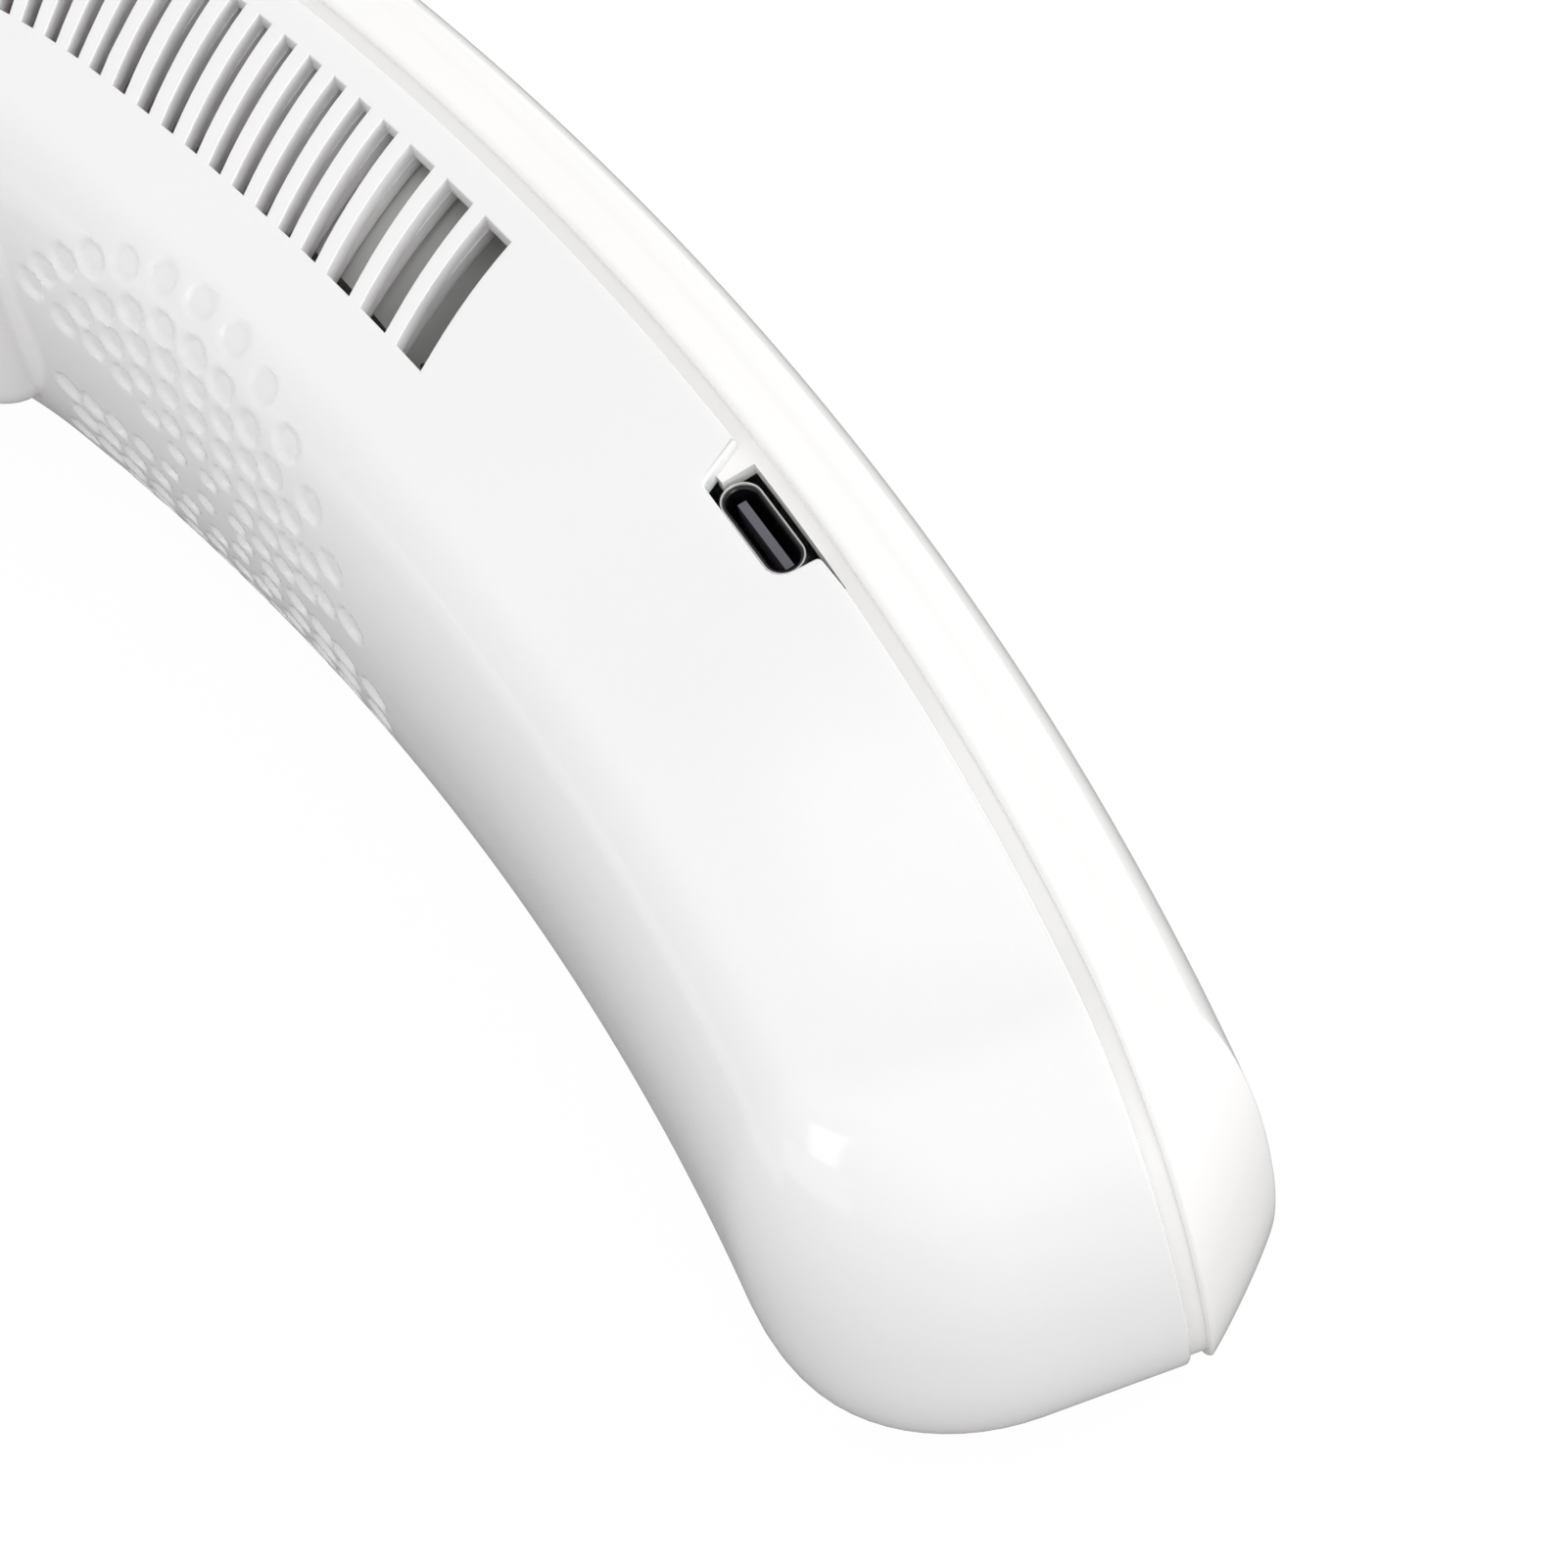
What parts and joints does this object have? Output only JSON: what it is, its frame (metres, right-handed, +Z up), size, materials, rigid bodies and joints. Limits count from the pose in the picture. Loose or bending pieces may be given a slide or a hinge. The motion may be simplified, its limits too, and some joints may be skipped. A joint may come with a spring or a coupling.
{
  "type": "electric neck fan",
  "caption": "U-shaped collar that rests on the neck and blows air from rows of slots, with a fan in each arm.",
  "frame": {"origin": "middle of the bounding box on the lower face", "axes": "+Z up through the face with the charging port, +Y towards the nape, +X towards the arm with the port and button"},
  "size_m": [0.1978, 0.1918, 0.041],
  "materials": {
    "shell_plastic": "satin",
    "cover_plastic": "high gloss",
    "silicone": "matte",
    "inner_plastic": "matte",
    "brass": "satin",
    "steel": "satin",
    "copper": "enamelled wire",
    "cell_wrap": "satin",
    "board": "satin",
    "port_steel": "satin",
    "black_plastic": "matte",
    "lens": "clear",
    "lead_red": "satin"
  },
  "bodies": {
    "housing": {"right_body_shell": "shell_plastic", "right_outer_cover": "cover_plastic", "right_intake_grille": "cover_plastic", "right_skin_pad": "silicone", "right_fan_scroll": "inner_plastic", "right_motor_plate": "inner_plastic", "right_bearing": "brass", "right_stator": "steel", "right_windings": "copper", "right_fan_screws": "steel", "right_battery": "cell_wrap", "left_body_shell": "shell_plastic", "left_outer_cover": "cover_plastic", "left_intake_grille": "cover_plastic", "left_skin_pad": "silicone", "left_fan_scroll": "inner_plastic", "left_motor_plate": "inner_plastic", "left_bearing": "brass", "left_stator": "steel", "left_windings": "copper", "left_fan_screws": "steel", "left_battery": "cell_wrap", "nape_body_shell": "shell_plastic", "nape_outer_cover": "cover_plastic", "main_board": "board", "board_screws": "steel", "usb_c_shell": "port_steel", "usb_c_tongue": "black_plastic", "power_switch": "black_plastic", "battery_leds": "lens", "power_leads": "lead_red"},
    "right_impeller": {"right_impeller": "inner_plastic", "right_rotor_can": "steel", "right_shaft": "steel"},
    "left_impeller": {"left_impeller": "inner_plastic", "left_rotor_can": "steel", "left_shaft": "steel"},
    "power_button": {"power_button": "cover_plastic"}
  },
  "joints": [
    {"name": "right_impeller_spin", "type": "hinge", "parent": "housing", "child": "right_impeller", "pos_m": [0.08249, 0.00767, 0.0205], "axis": [0.975, 0.222, 0], "continuous": true},
    {"name": "left_impeller_spin", "type": "hinge", "parent": "housing", "child": "left_impeller", "pos_m": [-0.08249, 0.00767, 0.0205], "axis": [-0.975, 0.222, 0], "continuous": true},
    {"name": "button_press", "type": "slide", "parent": "housing", "child": "power_button", "axis": [-0.9975, -0.07, 0], "range_m": [0, 0.0005], "stiffness_N_per_m": 300}
  ]
}
